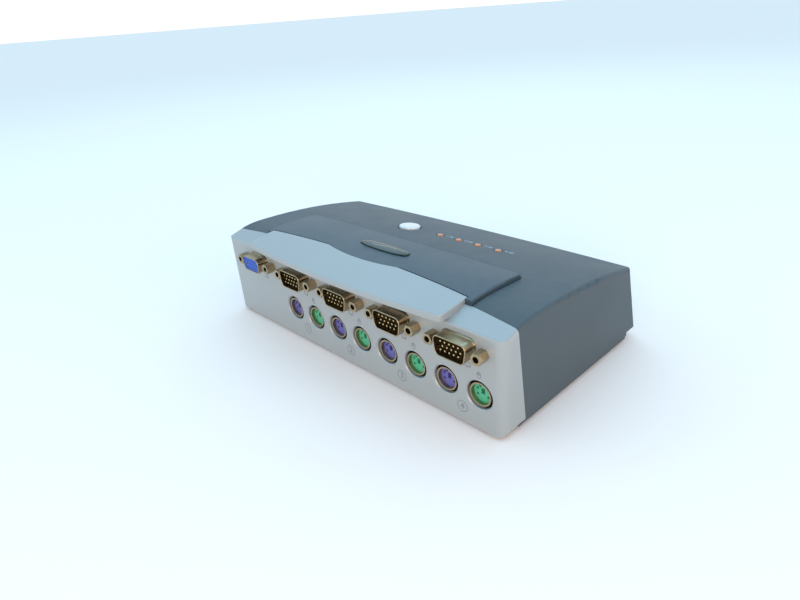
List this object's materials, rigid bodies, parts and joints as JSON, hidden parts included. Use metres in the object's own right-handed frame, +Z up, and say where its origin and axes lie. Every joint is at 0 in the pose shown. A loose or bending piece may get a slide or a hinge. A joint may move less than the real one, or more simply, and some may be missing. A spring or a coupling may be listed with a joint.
{
  "type": "kvm switch",
  "caption": "Desktop switch box that shares one keyboard, mouse and monitor between computers, with video and round keyboard and mouse sockets on a silver front.",
  "frame": {"origin": "middle of the footprint, on the surface that the feet stand on", "axes": "+Z up, the connector panel faces -Y, the long side runs along X"},
  "size_m": [0.197, 0.1216, 0.053],
  "materials": {
    "amber_lens": "tinted lens",
    "badge": "gloss dark green-black",
    "black_plastic": "moulded black",
    "blue_insulator": "moulded blue",
    "board": "solder-masked board",
    "dark_case": "fine-textured dark blue-grey plastic",
    "dark_insulator": "moulded black",
    "dark_panel": "satin dark blue-grey plastic",
    "gold_pin": "gold flashed",
    "green_insulator": "moulded green",
    "nickel": "nickel plated, slightly yellow",
    "purple_insulator": "moulded purple",
    "ribbon": "grey flat cable",
    "rubber": "matt rubber",
    "silver_button": "satin silver",
    "silver_case": "satin silver paint on plastic",
    "steel": "zinc plated",
    "white_plastic": "moulded white"
  },
  "bodies": {
    "case": {"badge": "badge", "base_tray": "dark_case", "board_header": "black_plastic", "board_spacers": "steel", "brow_trim": "silver_case", "console_keyboard_housing": "purple_insulator", "console_keyboard_shield": "nickel", "console_mouse_housing": "green_insulator", "console_mouse_shield": "nickel", "console_vga_insulator": "blue_insulator", "console_vga_pins": "gold_pin", "console_vga_shell": "nickel", "control_board": "board", "control_ribbon": "ribbon", "controller_chip": "black_plastic", "dc_jack": "black_plastic", "fascia": "silver_case", "jackscrews": "nickel", "keyboard_1_housing": "purple_insulator", "keyboard_1_shield": "nickel", "keyboard_2_housing": "purple_insulator", "keyboard_2_shield": "nickel", "keyboard_3_housing": "purple_insulator", "keyboard_3_shield": "nickel", "keyboard_4_housing": "purple_insulator", "keyboard_4_shield": "nickel", "led_1": "amber_lens", "led_2": "amber_lens", "led_3": "amber_lens", "led_4": "amber_lens", "lower_board": "board", "mouse_1_housing": "green_insulator", "mouse_1_shield": "nickel", "mouse_2_housing": "green_insulator", "mouse_2_shield": "nickel", "mouse_3_housing": "green_insulator", "mouse_3_shield": "nickel", "mouse_4_housing": "green_insulator", "mouse_4_shield": "nickel", "plateau_cover": "dark_panel", "rubber_feet": "rubber", "switch_body": "black_plastic", "tapping_screws": "steel", "top_cover": "dark_case", "upper_board": "board", "vga_1_insulator": "dark_insulator", "vga_1_pins": "gold_pin", "vga_1_shell": "nickel", "vga_2_insulator": "dark_insulator", "vga_2_pins": "gold_pin", "vga_2_shell": "nickel", "vga_3_insulator": "dark_insulator", "vga_3_pins": "gold_pin", "vga_3_shell": "nickel", "vga_4_insulator": "dark_insulator", "vga_4_pins": "gold_pin", "vga_4_shell": "nickel", "video_chips": "black_plastic"},
    "button": {"button_cap": "silver_button"},
    "plunger": {"switch_plunger": "white_plastic"}
  },
  "joints": [
    {"name": "button_press", "type": "slide", "parent": "case", "child": "button", "axis": [0, -0.1381, -0.9904], "range_m": [0, 0.001], "stiffness_N_per_m": 1200},
    {"name": "plunger_press", "type": "slide", "parent": "case", "child": "plunger", "axis": [0, -0.1381, -0.9904], "range_m": [0, 0.001]}
  ],
  "couplings": [
    {"joint": "plunger_press", "follows": "button_press", "ratio": 1}
  ]
}
